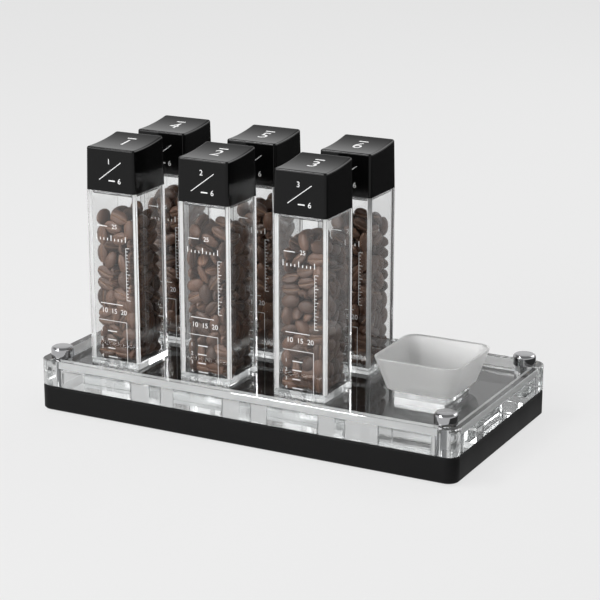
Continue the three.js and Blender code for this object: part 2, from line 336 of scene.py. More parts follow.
def vary_surface(material: Material, noise: ShaderNode, strength: float, depth: float) -> None:
    """Lets a noise raise and sink the surface.

    Args:
        material: The material to change.
        noise: What it follows.
        strength: How much of the relief shows.
        depth: How deep the relief is.
    """
    bump = add_node(material, "ShaderNodeBump", Strength=strength, Distance=depth)
    material.node_tree.links.new(noise.outputs["Fac"], bump.inputs["Height"])
    material.node_tree.links.new(bump.outputs["Normal"], shader_of(material).inputs["Normal"])


def let_lamps_through(material: Material, shader: ShaderNode, tint: Sequence[float]) -> None:
    """Mixes in a clear film for rays from the lamps, so that a clear piece casts only a faint shadow.

    Args:
        material: The material to change.
        shader: Its main shader.
        tint: The film's colour.
    """
    link = material.node_tree.links.new
    film = add_node(material, "ShaderNodeBsdfTransparent", Color=tint)
    path = add_node(material, "ShaderNodeLightPath")
    mix = add_node(material, "ShaderNodeMixShader")
    link(path.outputs["Is Shadow Ray"], mix.inputs["Fac"])
    link(shader.outputs["BSDF"], mix.inputs[1])
    link(film.outputs["BSDF"], mix.inputs[2])
    link(mix.outputs["Shader"], material.node_tree.nodes["Material Output"].inputs["Surface"])


class Finish(Protocol):
    """Anything that makes a material."""

    def make(self) -> Material:
        """Returns the material."""


@dataclass(frozen=True)
class SatinPlastic:
    """Moulded black plastic with a fine spark-eroded grain."""

    name: str
    colour: Colour
    roughness: float
    shine: float
    uneven: float = 0.05
    patches: float = 60.0
    grain: float = 2600.0
    relief: float = 0.04

    def make(self) -> Material:
        """Returns the material, whose roughness varies in patches and its surface with the grain."""
        material = bpy.data.materials.new(self.name)
        shine = {"Base Color": (*self.colour, 1.0), "Specular IOR Level": self.shine}
        set_inputs(shader_of(material), shine)
        patches = noise_on(material, self.patches, 2.0)
        vary_roughness(material, patches, self.roughness - self.uneven, self.roughness + self.uneven)
        vary_surface(material, noise_on(material, self.grain, 3.0), self.relief, FINE_GRAIN)
        return material


@dataclass(frozen=True)
class ClearAcrylic:
    """Polished clear acrylic that lets the lamps through to what stands in it."""

    name: str
    tint: Colour = (0.95, 0.954, 0.954)
    index: float = ACRYLIC_INDEX
    roughness: float = 0.0

    def make(self) -> Material:
        """Returns the material."""
        material = bpy.data.materials.new(self.name)
        shader = shader_of(material)
        set_inputs(
            shader,
            {
                "Base Color": (*self.tint, 1.0),
                "Roughness": self.roughness,
                "IOR": self.index,
                "Transmission Weight": 1.0,
            },
        )
        let_lamps_through(material, shader, (*self.tint, 1.0))
        return material


@dataclass(frozen=True)
class FrostedAcrylic:
    """Translucent acrylic with a blasted or milled surface."""

    name: str
    colour: Colour
    roughness: float = 0.38
    clear: float = 0.76
    index: float = ACRYLIC_INDEX
    grain: float = 3200.0
    relief: float = 0.08
    film: float = 0.5

    def make(self) -> Material:
        """Returns the material, with a fine grain in its surface."""
        material = bpy.data.materials.new(self.name)
        shader = shader_of(material)
        set_inputs(
            shader,
            {
                "Base Color": (*self.colour, 1.0),
                "Roughness": self.roughness,
                "IOR": self.index,
                "Transmission Weight": self.clear,
            },
        )
        vary_surface(material, noise_on(material, self.grain, 2.0), self.relief, FINE_GRAIN)
        let_lamps_through(material, shader, (self.film, self.film, self.film, 1.0))
        return material


@dataclass(frozen=True)
class PolishedMetal:
    """Turned and plated metal, a little uneven from the polishing."""

    name: str
    colour: Colour
    roughness: float
    grain: float = 900.0
    least: float = 0.7
    most: float = 1.4

    def make(self) -> Material:
        """Returns the material, whose roughness varies between two shares of its own."""
        material = bpy.data.materials.new(self.name)
        set_inputs(shader_of(material), {"Base Color": (*self.colour, 1.0), "Metallic": 1.0})
        noise = noise_on(material, self.grain, 2.0)
        vary_roughness(material, noise, self.roughness * self.least, self.roughness * self.most)
        return material


@dataclass(frozen=True)
class RoastedBean:
    """Dark roasted coffee, a little oily, with paler skin left in the crease."""

    name: str
    dark: Colour = (0.036, 0.018, 0.011)
    light: Colour = (0.12, 0.06, 0.036)
    skin: Colour = (0.2, 0.115, 0.07)
    shine: float = 0.45
    mottle: float = 420.0
    mottle_share: float = 0.5
    oily: float = 0.32
    dry: float = 0.58
    wrinkle: float = 1500.0
    relief: float = 0.25
    relief_depth: float = 0.4 * MM

    def make(self) -> Material:
        """Returns the material. It reads each bean's own tone and the depth of its crease."""
        material = bpy.data.materials.new(self.name)
        shader = shader_of(material)
        set_inputs(shader, {"Specular IOR Level": self.shine})
        link = material.node_tree.links.new
        tone = add_node(material, "ShaderNodeAttribute")
        tone.attribute_name = BeanPile.TONE
        crease = add_node(material, "ShaderNodeAttribute")
        crease.attribute_name = BeanPile.CREASE
        mottle = noise_on(material, self.mottle, 4.0)
        shade = add_node(material, "ShaderNodeMath")
        shade.operation = "MULTIPLY_ADD"
        shade.inputs[1].default_value = self.mottle_share
        link(mottle.outputs["Fac"], shade.inputs[0])
        link(tone.outputs["Fac"], shade.inputs[2])
        roast = add_node(material, "ShaderNodeMix")
        roast.data_type = "RGBA"
        set_inputs(roast, {"A": (*self.dark, 1.0), "B": (*self.light, 1.0)})
        link(shade.outputs["Value"], roast.inputs["Factor"])
        skin = add_node(material, "ShaderNodeMix")
        skin.data_type = "RGBA"
        set_inputs(skin, {"B": (*self.skin, 1.0)})
        link(crease.outputs["Fac"], skin.inputs["Factor"])
        link(roast.outputs["Result"], skin.inputs["A"])
        link(skin.outputs["Result"], shader.inputs["Base Color"])
        vary_roughness(material, mottle, self.oily, self.dry)
        vary_surface(material, noise_on(material, self.wrinkle, 3.0), self.relief, self.relief_depth)
        return material


@dataclass(frozen=True)
class PlainCoat:
    """Ink, the white corner strips, rubber and silicone: one colour with a slightly uneven roughness."""

    name: str
    colour: Colour
    roughness: float
    clear: float = 0.0
    grain: float = 500.0
    uneven: float = 0.08

    def make(self) -> Material:
        """Returns the material."""
        material = bpy.data.materials.new(self.name)
        coat = {"Base Color": (*self.colour, 1.0), "Transmission Weight": self.clear}
        set_inputs(shader_of(material), coat)
        noise = noise_on(material, self.grain, 2.0)
        vary_roughness(material, noise, self.roughness - self.uneven, self.roughness + self.uneven)
        return material


def applied(finish: Finish) -> Any:
    """Returns a field that holds a finish's material, made when the rack is dressed."""
    return field(default_factory=finish.make)


@dataclass
class Finishes:
    """Every finish on the rack, made once."""

    plinth: Material = applied(SatinPlastic("plinth_black", (0.0085, 0.0085, 0.0087), 0.5, 0.09))
    cap: Material = applied(SatinPlastic("cap_black", (0.003, 0.003, 0.0031), 0.11, 0.21))
    clear: Material = applied(ClearAcrylic("clear_acrylic"))
    deck: Material = applied(ClearAcrylic("deck_acrylic", (0.65, 0.66, 0.66)))
    milled: Material = applied(FrostedAcrylic("milled_acrylic", (0.95, 0.95, 0.95), 0.5, 0.25))
    seam: Material = applied(PlainCoat("seam_white", (0.62, 0.62, 0.62), 0.6))
    frosted: Material = applied(FrostedAcrylic("frosted_acrylic", (0.91, 0.91, 0.905)))
    chrome: Material = applied(PolishedMetal("screw_chrome", (0.44, 0.44, 0.45), 0.06))
    brass: Material = applied(PolishedMetal("insert_brass", (0.62, 0.42, 0.16), 0.25))
    beans: Material = applied(RoastedBean("roasted_beans"))
    ink: Material = applied(PlainCoat("white_ink", (0.86, 0.86, 0.86), 0.5))
    rubber: Material = applied(PlainCoat("foot_rubber", (0.012, 0.012, 0.012), 0.8))
    silicone: Material = applied(PlainCoat("seal_silicone", (0.95, 0.95, 0.95), 0.15, 1.0))


# Sub-assemblies


@dataclass
class Print:
    """White printing: bars and plain numbers, drawn flat about the origin and then laid on a face."""

    proud: float = 0.04 * MM
    merge_share: float = 0.025
    lift_share: float = 0.75
    digit_share: float = 0.7
    digit_steps: int = 4
    bm: BMesh = field(default_factory=bmesh.new)

    def bar(self, start: tuple[float, float], end: tuple[float, float], thick: float) -> None:
        """Adds a straight bar.

        Args:
            start: One end in the drawing, in millimetres.
            end: The other end.
            thick: Its thickness in millimetres.
        """
        first = Vector((*start, 0.0)) * MM
        along = Vector((*end, 0.0)) * MM - first
        turn = Matrix.Rotation(math.atan2(along.y, along.x), 4, "Z")
        size = Matrix.Diagonal((along.length, thick * MM, self.proud, 1.0))
        place = Matrix.Translation(first + along / 2)
        bmesh.ops.create_cube(self.bm, size=1.0, matrix=place @ turn @ size)

    def number(self, digits: str, middle: tuple[float, float], height: float) -> None:
        """Adds a plain number.

        Args:
            digits: What it says.
            middle: Its middle in the drawing, in millimetres.
            height: The height of its digits in millimetres.
        """
        curve = bpy.data.curves.new("number", "FONT")
        curve.body = digits
        curve.size = height * MM / self.digit_share
        curve.align_x = "CENTER"
        curve.align_y = "CENTER"
        curve.resolution_u = self.digit_steps
        curve.extrude = self.proud / 2
        holder = bpy.data.objects.new("number", curve)
        mesh = bpy.data.meshes.new_from_object(holder)
        mesh.transform(Matrix.Translation(Vector((*middle, 0.0)) * MM))
        self.bm.from_mesh(mesh)
        bpy.data.objects.remove(holder)
        bpy.data.curves.remove(curve)
        bpy.data.meshes.remove(mesh)

    def laid(self, facing: Facing, middle: Vector) -> BMesh:
        """Lays the drawing on a face, just clear of it.

        Args:
            facing: The way that the face looks.
            middle: Where the drawing's origin goes.

        Returns:
            The mesh of the printing.
        """
        bmesh.ops.remove_doubles(self.bm, verts=self.bm.verts, dist=self.proud * self.merge_share)
        lift = Matrix.Translation((0.0, 0.0, self.proud * self.lift_share))
        place = Matrix.Translation(middle) @ facing.turn() @ lift
        bmesh.ops.transform(self.bm, matrix=place, verts=self.bm.verts)
        return self.bm


@dataclass
class Base:
    """The black plinth and the clear deck, with their pads, screws and inserts."""

    body: str = "rack"
    edge: float = 0.4 * MM
    rim: float = 5.0 * MM
    rim_slack: float = 0.5 * MM
    head_height: float = 6.4 * MM
    head_bevel: float = 1.7 * MM
    foot_bevel: float = 0.3 * MM
    shank: float = 2.0 * MM
    outer_share: float = 0.9
    turn_steps: int = 64

    def build(self, nodes: dict[str, bpy.types.Object], finishes: Finishes) -> None:
        """Makes and dresses the base.

        Args:
            nodes: The solids of the frame by name.
            finishes: The materials.
        """
        plinth = piece("plinth_slab", copy_of(nodes["base_plinth"]), finishes.plinth)
        settle(plinth, self.body, "plinth_black", "base_plinth")
        deck = piece("deck_plate", self.deck(nodes["clear_deck"]), finishes.deck)
        deck.data.materials.append(finishes.milled)
        settle(deck, self.body, "clear_acrylic", "clear_deck")
        for i in range(1, CORNERS + 1):
            screw = piece(f"thumbscrew_{i}", self.screw(f"corner_screw_{i}"), finishes.chrome)
            settle(screw, self.body, "screw_chrome", f"corner_screw_{i}")
            dress(nodes[f"screw_insert_{i}"], finishes.brass)
            dress(nodes[f"foot_pad_{i}"], finishes.rubber)

    def deck(self, node: bpy.types.Object) -> BMesh:
        """Makes the deck with its milled edges broken and the rim's inner walls left as milled.

        Args:
            node: The solid that it stands for.

        Returns:
            The deck, with the second material on the rim's inner walls.
        """
        bm = copy_of(node)
        bevel(bm, sharp_edges(bm), self.edge, EDGE_STEPS)
        bm.normal_update()
        low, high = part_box("clear_deck")
        for face in bm.faces:
            middle = face.calc_center_median()
            for axis in (0, 1):
                inner = min(middle[axis] - low[axis], high[axis] - middle[axis])
                if abs(face.normal[axis]) > FACING and abs(inner - self.rim) < self.rim_slack:
                    face.material_index = 1
        return bm

    def screw(self, node: str) -> BMesh:
        """Turns a thumbscrew about its own axis.

        Args:
            node: The solid that it stands for.

        Returns:
            The screw, with its head's edges rounded.
        """
        low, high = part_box(node)
        under = high.z - self.head_height
        axis = (low + high) / 2
        radius = (high.x - low.x) / 2
        outline = [
            (0.0, low.z),
            (self.shank, low.z),
            (self.shank, under),
            (radius, under),
            (radius, high.z),
            (0.0, high.z),
        ]
        bm = bmesh.new()
        points = [bm.verts.new((axis.x + r, axis.y, z)) for r, z in outline]
        for first, second in zip(points, points[1:]):
            bm.edges.new((first, second))
        bmesh.ops.spin(
            bm,
            geom=list(bm.verts) + list(bm.edges),
            cent=axis,
            axis=(0.0, 0.0, 1.0),
            angle=math.tau,
            steps=self.turn_steps,
            use_merge=True,
        )
        bmesh.ops.remove_doubles(bm, verts=bm.verts, dist=MERGE)
        bmesh.ops.recalc_face_normals(bm, faces=bm.faces)
        reach = radius * self.outer_share
        outer = [e for e in sharp_edges(bm) if (e.verts[0].co.xy - axis.xy).length > reach]
        upper = [e for e in outer if e.verts[0].co.z > (under + high.z) / 2]
        lower = [e for e in outer if e not in upper]
        bevel(bm, upper, self.head_bevel, ROUND_STEPS)
        bevel(bm, lower, self.foot_bevel, EDGE_STEPS)
        return bm


@dataclass
class BeanPile:
    """A column of beans, settled in a square bore by pushing overlapping beans apart."""

    TONE = "bean_tone"
    CREASE = "bean_crease"

    bore: float
    count: int = 160
    seed: int = 7
    half_length: float = 6.0 * MM
    half_width: float = 4.2 * MM
    half_thickness: float = 3.1 * MM
    flat_share: float = 0.62
    sides: int = 12
    rings: int = 7
    crease_width: float = 0.75 * MM
    crease_depth: float = 0.75 * MM
    crease_share: float = 0.93
    crease_line: float = 0.05 * MM
    crease_end: float = 0.2 * MM
    skin_reach: float = 0.4 * MM
    room_radius: float = 3.6 * MM
    lying: float = 0.7
    drop: float = 0.7 * MM
    steps: int = 170
    passes: int = 3
    push_share: float = 0.32
    least: float = 0.01 * MM
    wall_share: float = 0.28
    wall_tilt: float = 0.35
    free_tilt: float = 2.0
    turned_share: float = 0.55
    wall_gap: float = 0.15 * MM
    floor_gap: float = 0.1 * MM
    tones: tuple[float, float] = (-0.1, 0.75)

    def bean(self) -> bpy.types.Mesh:
        """Returns one bean, with its long axis up and its creased flat side to the front."""
        bm = bmesh.new()
        bmesh.ops.create_uvsphere(bm, u_segments=self.sides, v_segments=self.rings, radius=1.0)
        bmesh.ops.scale(bm, vec=(self.half_width, self.half_thickness, self.half_length), verts=bm.verts)
        crease = [
            e
            for e in bm.edges
            if all(abs(v.co.x) < self.crease_line and v.co.y < self.crease_end for v in e.verts)
        ]
        bevel(bm, crease, self.crease_width, EDGE_STEPS)
        front = [v for v in bm.verts if v.co.y < 0.0]
        reach = self.crease_share * self.half_length
        for vert in front:
            vert.co.y *= self.flat_share
        for vert in front:
            if abs(vert.co.x) < self.crease_line and abs(vert.co.z) < reach:
                vert.co.y += self.crease_depth
        bmesh.ops.recalc_face_normals(bm, faces=bm.faces)
        mesh = bpy.data.meshes.new("bean")
        bm.to_mesh(mesh)
        bm.free()
        return mesh

    def settled(self) -> tuple[np.ndarray, np.ndarray]:
        """Settles the beans, each as three balls in a row.

        Returns:
            The middles and the directions of the beans, from the middle of the bore's floor.
        """
        rng = np.random.default_rng(self.seed)
        radius = self.room_radius
        reach = self.half_length - radius
        room = self.bore / 2 - radius
        middles = rng.uniform(-room, room, (self.count, 3))
        middles[:, 2] = radius + np.arange(self.count) * self.drop
        ways = rng.normal(size=(self.count, 3)) * (1.0, 1.0, self.lying)
        ways /= np.linalg.norm(ways, axis=1, keepdims=True)
        offsets = np.array((-1.0, 0.0, 1.0)) * reach
        owner = np.repeat(np.arange(self.count), len(offsets))
        apart = owner[:, None] != owner[None, :]
        for step in range(self.steps):
            middles[:, 2] -= self.drop * (1.0 - step / self.steps)
            for _ in range(self.passes):
                balls = middles[:, None, :] + ways[:, None, :] * offsets[None, :, None]
                balls = balls.reshape(-1, 3)
                gaps = balls[:, None, :] - balls[None, :, :]
                far = np.sqrt((gaps * gaps).sum(axis=2)) + TINY
                push = np.where(apart, np.clip(2 * radius - far, 0.0, None), 0.0) / far
                balls = balls + self.push_share * (gaps * push[:, :, None]).sum(axis=1)
                balls[:, :2] = np.clip(balls[:, :2], -room, room)
                balls[:, 2] = np.maximum(balls[:, 2], radius)
                rows = balls.reshape(self.count, len(offsets), 3)
                middles = rows.mean(axis=1)
                spread = rows[:, 2] - rows[:, 0]
                length = np.linalg.norm(spread, axis=1, keepdims=True)
                ways = np.where(length > self.least, spread / np.maximum(length, self.least), ways)
        return middles, ways

    def places(self) -> list[Matrix]:
        """Returns where each bean goes, with beans at a wall lying flat against it."""
        rng = np.random.default_rng(self.seed + 1)
        middles, ways = self.settled()
        found = []
        for middle, way in zip(middles, ways):
            wall = int(np.argmax(np.abs(middle[:2])))
            out = np.zeros(3)
            out[wall] = np.sign(middle[wall])
            at_wall = abs(middle[wall]) > self.bore * self.wall_share
            out = out + rng.normal(size=3) * (self.wall_tilt if at_wall else self.free_tilt)
            side = Vector(way)
            back = Vector(out - way * float(out @ way)).normalized()
            if rng.random() < self.turned_share:
                back = -back
            across = back.cross(side)
            turn = Matrix((across, back, side)).transposed().to_4x4()
            found.append(Matrix.Translation(Vector(middle)) @ turn)
        return found

    def column(self, bean: bpy.types.Mesh, places: Sequence[Matrix], floor: Vector, turn: int) -> BMesh:
        """Joins the beans of one canister.

        Args:
            bean: One bean.
            places: Where each bean goes, from the middle of the bore's floor.
            floor: The middle of the bore's floor.
            turn: How many quarter turns the whole pile is given.

        Returns:
            The joined beans, all inside the bore.
        """
        bm = bmesh.new()
        stand = Matrix.Translation(floor) @ Matrix.Rotation(turn * math.pi / 2, 4, "Z")
        room = self.bore / 2 - self.wall_gap
        for place in places:
            one = bean.copy()
            one.transform(stand @ place)
            corners = np.array([v.co for v in one.vertices])
            inward = np.zeros(3)
            for axis in (0, 1):
                high = corners[:, axis].max() - (floor[axis] + room)
                low = (floor[axis] - room) - corners[:, axis].min()
                inward[axis] = max(low, 0.0) - max(high, 0.0)
            inward[2] = max(floor.z + self.floor_gap - corners[:, 2].min(), 0.0)
            one.transform(Matrix.Translation(Vector(inward)))
            bm.from_mesh(one)
            bpy.data.meshes.remove(one)
        return bm

    def mark(self, made: bpy.types.Object, bean: bpy.types.Mesh, beans: int, seed: int) -> None:
        """Stores each bean's tone and crease on the joined mesh.

        Args:
            made: The joined beans.
            bean: One bean.
            beans: How many are joined.
            seed: For the tones.
        """
        corners = np.array([v.co for v in bean.vertices])
        deep = (np.abs(corners[:, 0]) < self.skin_reach) & (corners[:, 1] < 0.0)
        crease = np.where(deep, 1.0, 0.0)
        tones = np.random.default_rng(seed).uniform(*self.tones, beans)
        marks = {self.TONE: np.repeat(tones, len(corners)), self.CREASE: np.tile(crease, beans)}
        for name, values in marks.items():
            layer = made.data.attributes.new(name, "FLOAT", "POINT")
            layer.data.foreach_set("value", values.astype(np.float32))


@dataclass
class Canister:
    """A clear tube with its beans."""

    index: int
    wall: float = 2.6 * MM
    corner: float = 0.4 * MM
    bore_corner: float = 0.4 * MM
    bore_steps: int = 3
    bean_gap: float = 0.2 * MM
    edge: float = 0.25 * MM
    label_rise: float = 5.0 * MM
    bean_smooth: float = 80.0
    seam: float = 0.08 * MM
    seam_gap: float = 0.15 * MM

    @property
    def body(self) -> str:
        """The body that the canister moves with."""
        return f"canister_{self.index}"

    @property
    def node(self) -> str:
        """The solid of its tube."""
        return f"canister_tube_{self.index}"

    def floor(self) -> Vector:
        """Returns the middle of the bore's floor, just under the beans."""
        low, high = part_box(self.node)
        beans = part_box(f"bean_fill_{self.index}")[0]
        return Vector(((low.x + high.x) / 2, (low.y + high.y) / 2, beans.z - self.bean_gap))

    def bore(self) -> float:
        """Returns the inner width of the tube."""
        low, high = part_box(self.node)
        return high.x - low.x - 2 * self.wall

    def tube(self) -> BMesh:
        """Returns the tube: a block hollowed from the top, with its edges rounded."""
        low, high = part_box(self.node)
        bm = block(low, high)
        sink(bm, top_face(bm), self.wall, high.z - self.floor().z)
        centre = (low + high) / 2
        half = (high.x - low.x) / 2 - self.wall / 2
        inner = [e for e in upright_edges(bm) if all(abs(v.co.x - centre.x) < half for v in e.verts)]
        outer = [e for e in upright_edges(bm) if e not in inner]
        bevel(bm, inner, self.bore_corner, self.bore_steps)
        bevel(bm, outer, self.corner, ROUND_STEPS)
        bevel(bm, sharp_edges(bm), self.edge, EDGE_STEPS)
        return bm

    def seams(self) -> BMesh:
        """Returns thin white strips in the four corners, between the side walls and the other two."""
        low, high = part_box(self.node)
        centre = (low + high) / 2
        foot = self.floor().z
        top = high.z - 2 * self.edge
        size = Matrix.Diagonal((self.wall - 2 * self.seam_gap, self.seam, top - foot, 1.0))
        bm = bmesh.new()
        for side in (-1, 1):
            for face in (-1, 1):
                x = centre.x + side * ((high.x - low.x) / 2 - self.wall / 2)
                y = centre.y + face * ((high.y - low.y) / 2 - self.wall + self.seam)
                place = Matrix.Translation((x, y, (foot + top) / 2))
                bmesh.ops.create_cube(bm, size=1.0, matrix=place @ size)
        return bm

    def label(self) -> BMesh:
        """Returns the generic printing on the tube's front: a dose scale, rules and a list of doses."""
        low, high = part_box(self.node)
        drawing = Print()
        thin = 0.32
        head = 33.0
        drawing.bar((-10.0, head), (-3.0, head), 0.5)
        drawing.number("25", (2.0, head), 2.6)
        for i in range(9):
            x = -10.5 + 2.5 * i
            drawing.bar((x, 24.4), (x, 26.0 + 1.8 * (i % 4 == 0)), 0.55)
        rail = 9.6
        drawing.bar((rail, -11.0), (rail, 21.0), thin)
        for i in range(17):
            y = -11.0 + 2.0 * i
            drawing.bar((rail, y), (10.9 + 1.1 * (i % 4 == 0), y), thin)
        drawing.bar((-9.0, -14.5), (6.5, -14.5), 0.45)
        drawing.number("10  15  20", (0.4, -19.0), 3.0)
        frame_top = -25.0
        frame_side = 9.0
        drawing.bar((-10.5, frame_top), (frame_side, frame_top), thin)
        drawing.bar((frame_side, frame_top), (frame_side, -58.0), thin)
        for i in range(5):
            y = -31.5 - 5.4 * i
            drawing.number(str(i + 1), (-8.6, y), 2.2)
            drawing.bar((-4.5, y), (2.0 - 0.7 * (i % 3), y), 0.6)
        middle = Vector(((low.x + high.x) / 2, low.y, (low.z + high.z) / 2 + self.label_rise))
        return drawing.laid(Facing.FRONT, middle)

    def build(
        self, finishes: Finishes, pile: BeanPile, bean: bpy.types.Mesh, places: Sequence[Matrix]
    ) -> None:
        """Makes the tube with its printing and the beans in it.

        Args:
            finishes: The materials.
            pile: The settled pile.
            bean: One bean.
            places: Where each bean of the pile goes.
        """
        tube = piece(f"clear_tube_{self.index}", self.tube(), finishes.clear)
        settle(tube, self.body, "clear_acrylic", self.node)
        seams = piece(f"tube_seams_{self.index}", self.seams(), finishes.seam)
        settle(seams, self.body, "clear_acrylic")
        label = piece(f"tube_scale_{self.index}", self.label(), finishes.ink)
        settle(label, self.body, "frosted_acrylic")
        column = pile.column(bean, places, self.floor(), self.index)
        beans = piece(f"beans_{self.index}", column, finishes.beans, self.bean_smooth)
        pile.mark(beans, bean, len(places), self.index)
        settle(beans, self.body, "roasted_beans", f"bean_fill_{self.index}")


@dataclass
class Lid:
    """A keycap lid: scooped top, higher at the back, on a clear plug."""

    index: int
    corner: float = 1.8 * MM
    corner_steps: int = 5
    lip: float = 1.2 * MM
    lip_turn: float = 0.9
    rise: float = 3.2 * MM
    scoop: float = 1.0 * MM
    lean: float = 0.5 * MM
    recess_wall: float = 2.6 * MM
    recess_depth: float = 4.2 * MM
    strips: int = 14

    @property
    def body(self) -> str:
        """The body that the lid moves with."""
        return f"lid_{self.index}"

    @property
    def node(self) -> str:
        """The solid of its cap."""
        return f"lid_cap_{self.index}"

    def top(self, y: float) -> float:
        """Finds the height of the cap's top.

        Args:
            y: A place from front to back.

        Returns:
            The height there.
        """
        low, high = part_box(self.node)
        half = (high.y - low.y) / 2
        part = (y - (low.y + high.y) / 2) / half
        return high.z - self.rise * (1 - part) / 2 - self.scoop * (1 - part * part)

    def shrink(self) -> float:
        """Returns how much narrower the leaning sides make the cap's top."""
        low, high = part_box(self.node)
        return 1 - self.lean / ((high.x - low.x) / 2)

    def cap(self) -> BMesh:
        """Returns the cap: a block cut into strips, whose top is then pulled down into the scoop."""
        low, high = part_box(self.node)
        bm = block(low, high)
        bevel(bm, upright_edges(bm), self.corner, self.corner_steps)
        straight = high.y - low.y - 2 * self.corner
        for i in range(1, self.strips):
            cut_across(bm, low.y + self.corner + straight * i / self.strips)
        centre = (low + high) / 2
        for vert in bm.verts:
            if vert.co.z > centre.z:
                vert.co.z = self.top(vert.co.y)
                vert.co.x = centre.x + (vert.co.x - centre.x) * self.shrink()
                vert.co.y = centre.y + (vert.co.y - centre.y) * self.shrink()
        under = [f for f in bm.faces if f.normal.z < -FACING]
        joined = bmesh.ops.dissolve_faces(bm, faces=under)["region"]
        sink(bm, joined[0], self.recess_wall, self.recess_depth)
        bm.normal_update()
        rim = [
            e
            for e in bm.edges
            if e.is_manifold
            and sum(f.normal.z > STEEP for f in e.link_faces) == 1
            and e.calc_face_angle(0.0) > self.lip_turn
            and e.verts[0].co.z > centre.z
        ]
        bevel(bm, rim, self.lip, ROUND_STEPS)
        return bm

    def top_print(self) -> BMesh:
        """Returns the number on the cap's top, with a bar behind it, bent to follow the scoop."""
        low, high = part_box(self.node)
        centre = (low + high) / 2
        drawing = Print()
        drawing.number(str(self.index), (0.5, -0.5), 9.5)
        drawing.bar((-2.5, 7.4), (3.5, 7.4), 1.2)
        bm = drawing.laid(Facing.TOP, Vector((centre.x, centre.y, 0.0)))
        for i in range(1, self.strips):
            cut_across(bm, low.y + (high.y - low.y) * i / self.strips)
        for vert in bm.verts:
            vert.co.z += self.top(centre.y + (vert.co.y - centre.y) / self.shrink())
        return bm

    def front_print(self) -> BMesh:
        """Returns the printing on the cap's front: the lid's number, a slash and the count of lids."""
        low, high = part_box(self.node)
        front_top = self.top(low.y)
        drawing = Print()
        drawing.bar((-7.6, -6.2), (7.6, 5.2), 0.42)
        drawing.number(str(self.index), (-0.8, 5.0), 3.2)
        drawing.bar((-1.0, -6.2), (3.4, -6.2), 0.7)
        drawing.number(str(CANISTERS), (6.4, -6.2), 3.2)
        middle = Vector(((low.x + high.x) / 2, low.y, (low.z + front_top) / 2))
        bm = drawing.laid(Facing.FRONT, middle)
        for vert in bm.verts:
            vert.co.y += self.lean * (vert.co.z - low.z) / (front_top - low.z)
        return bm

    def build(self, nodes: dict[str, bpy.types.Object], finishes: Finishes) -> None:
        """Makes the cap with its printing and dresses its plug and seal.

        Args:
            nodes: The solids of the frame by name.
            finishes: The materials.
        """
        cap = piece(f"keycap_{self.index}", self.cap(), finishes.cap)
        settle(cap, self.body, "cap_black", self.node)
        for name, bm in (("cap_number", self.top_print()), ("cap_count", self.front_print())):
            settle(piece(f"{name}_{self.index}", bm, finishes.ink), self.body, "frosted_acrylic")
        dress(nodes[f"lid_plug_{self.index}"], finishes.clear)
        dress(nodes[f"lid_seal_{self.index}"], finishes.silicone)


@dataclass
class Dish:
    """The frosted bowl on its clear foot."""

    body: str = "dish"
    base_side: float = 42.0 * MM
    base_corner: float = 7.0 * MM
    corner_steps: int = 12
    wall: float = 2.0 * MM
    floor: float = 2.6 * MM
    lip: float = 0.7 * MM
    fillet: float = 1.4 * MM
    fold: float = 35.0
    foot_corner: float = 1.5 * MM
    foot_edge: float = 0.35 * MM

    def bowl(self) -> BMesh:
        """Returns the bowl: a rounded square drawn up and out to the rim, then back down inside."""
        low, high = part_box("dish_bowl")
        centre = (low + high) / 2
        bm = bmesh.new()
        bmesh.ops.create_grid(bm, x_segments=1, y_segments=1, size=self.base_side / 2)
        bmesh.ops.translate(bm, vec=(centre.x, centre.y, low.z), verts=bm.verts)
        bmesh.ops.bevel(
            bm,
            geom=list(bm.verts),
            offset=self.base_corner,
            offset_type="OFFSET",
            affect="VERTICES",
            segments=self.corner_steps,
            profile=0.5,
            material=-1,
        )
        side = high.x - low.x
        height = high.z - low.z
        rim = self.drawn(bm, list(bm.faces), side / self.base_side, height, centre)
        bmesh.ops.recalc_face_normals(bm, faces=bm.faces)
        bmesh.ops.inset_region(bm, faces=[rim], thickness=self.wall, use_even_offset=True)
        inner_rim = side - 2 * self.wall
        inner_floor = self.base_side + (side - self.base_side) * self.floor / height - 2 * self.wall
        self.drawn(bm, [rim], inner_floor / inner_rim, self.floor - height, centre)
        bmesh.ops.recalc_face_normals(bm, faces=bm.faces)
        edges = sharp_edges(bm, self.fold)
        top = [e for e in edges if min(v.co.z for v in e.verts) > high.z - self.lip]
        bottom = [e for e in edges if e not in top]
        bevel(bm, top, self.lip, ROUND_STEPS)
        bevel(bm, bottom, self.fillet, ROUND_STEPS)
        return bm

    @staticmethod
    def drawn(bm: BMesh, faces: list[Face], widen: float, rise: float, centre: Vector) -> Face:
        """Draws faces up or down while they widen or narrow.

        Args:
            bm: The mesh to change.
            faces: The faces to draw.
            widen: How many times as wide they become.
            rise: How far they go up.
            centre: The upright axis that they widen about.

        Returns:
            The face at the far end.
        """
        verts, end = grow(bm, faces, rise > 0)
        about = Matrix.Translation(Vector((-centre.x, -centre.y, 0.0)))
        bmesh.ops.scale(bm, vec=(widen, widen, 1.0), verts=verts, space=about)
        bmesh.ops.translate(bm, vec=(0.0, 0.0, rise), verts=verts)
        return end

    def foot(self) -> BMesh:
        """Returns the clear block that carries the bowl."""
        low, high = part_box("dish_foot")
        bm = block(low, high)
        bevel(bm, upright_edges(bm), self.foot_corner, ROUND_STEPS)
        bevel(bm, sharp_edges(bm), self.foot_edge, EDGE_STEPS)
        return bm

    def build(self, finishes: Finishes) -> None:
        """Makes the bowl and its foot.

        Args:
            finishes: The materials.
        """
        bowl = piece("frosted_bowl", self.bowl(), finishes.frosted)
        settle(bowl, self.body, "frosted_acrylic", "dish_bowl")
        foot = piece("clear_foot", self.foot(), finishes.clear)
        settle(foot, self.body, "clear_acrylic", "dish_foot")


